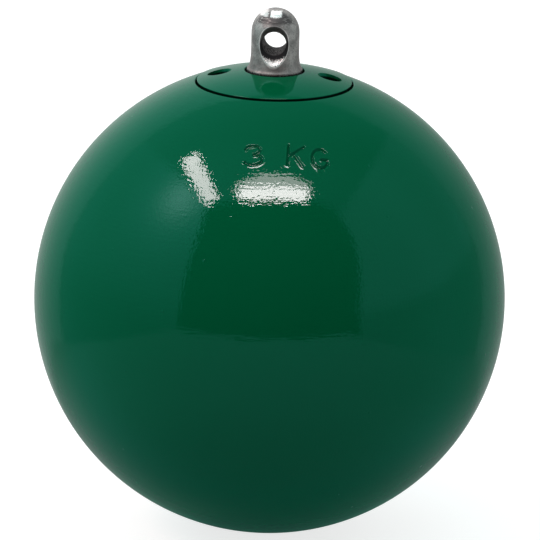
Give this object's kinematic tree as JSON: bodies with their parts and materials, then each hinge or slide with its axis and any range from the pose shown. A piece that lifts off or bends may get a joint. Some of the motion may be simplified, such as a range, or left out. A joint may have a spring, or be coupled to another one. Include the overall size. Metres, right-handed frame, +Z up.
{
  "type": "throwing hammer head",
  "caption": "Throwing hammer head: hollow painted ball with a lead-weighted base, a flush screw plug, and a ball-bearing swivel whose cross eye takes the wire.",
  "frame": {"origin": "centre of the small flat at the bottom of the ball, on the swivel's axis", "axes": "+Z up along the swivel's axis, +Y along the eye that the wire passes through, and -Y the front that the weight mark faces"},
  "size_m": [0.095, 0.095, 0.1075],
  "materials": {
    "green_enamel": "gloss",
    "forged_steel": "satin",
    "bearing_steel": "polished",
    "plated_steel": "satin",
    "cage_brass": "satin",
    "bush_bronze": "satin",
    "poured_lead": "matte",
    "seal_felt": "matte"
  },
  "bodies": {
    "head": {"ball_shell": "green_enamel", "lead_ballast": "poured_lead", "screw_plug": "green_enamel", "spindle_bush": "bush_bronze", "dust_seal": "seal_felt", "bearing_housing_washer": "bearing_steel"},
    "swivel": {"swivel_spindle": "forged_steel", "bearing_shaft_washer": "bearing_steel", "flat_washer": "plated_steel", "castle_nut": "plated_steel", "split_pin": "plated_steel"},
    "rolling_set": {"bearing_cage": "cage_brass", "bearing_ball_01": "bearing_steel", "bearing_ball_02": "bearing_steel", "bearing_ball_03": "bearing_steel", "bearing_ball_04": "bearing_steel", "bearing_ball_05": "bearing_steel", "bearing_ball_06": "bearing_steel", "bearing_ball_07": "bearing_steel", "bearing_ball_08": "bearing_steel", "bearing_ball_09": "bearing_steel", "bearing_ball_10": "bearing_steel"}
  },
  "joints": [
    {"name": "swivel_spin", "type": "hinge", "parent": "head", "child": "swivel", "pos_m": [0, 0, 0.08235], "axis": [0, 0, 1], "continuous": true},
    {"name": "cage_spin", "type": "hinge", "parent": "head", "child": "rolling_set", "pos_m": [0, 0, 0.08235], "axis": [0, 0, 1], "continuous": true}
  ],
  "couplings": [
    {"joint": "cage_spin", "follows": "swivel_spin", "ratio": 0.5}
  ]
}
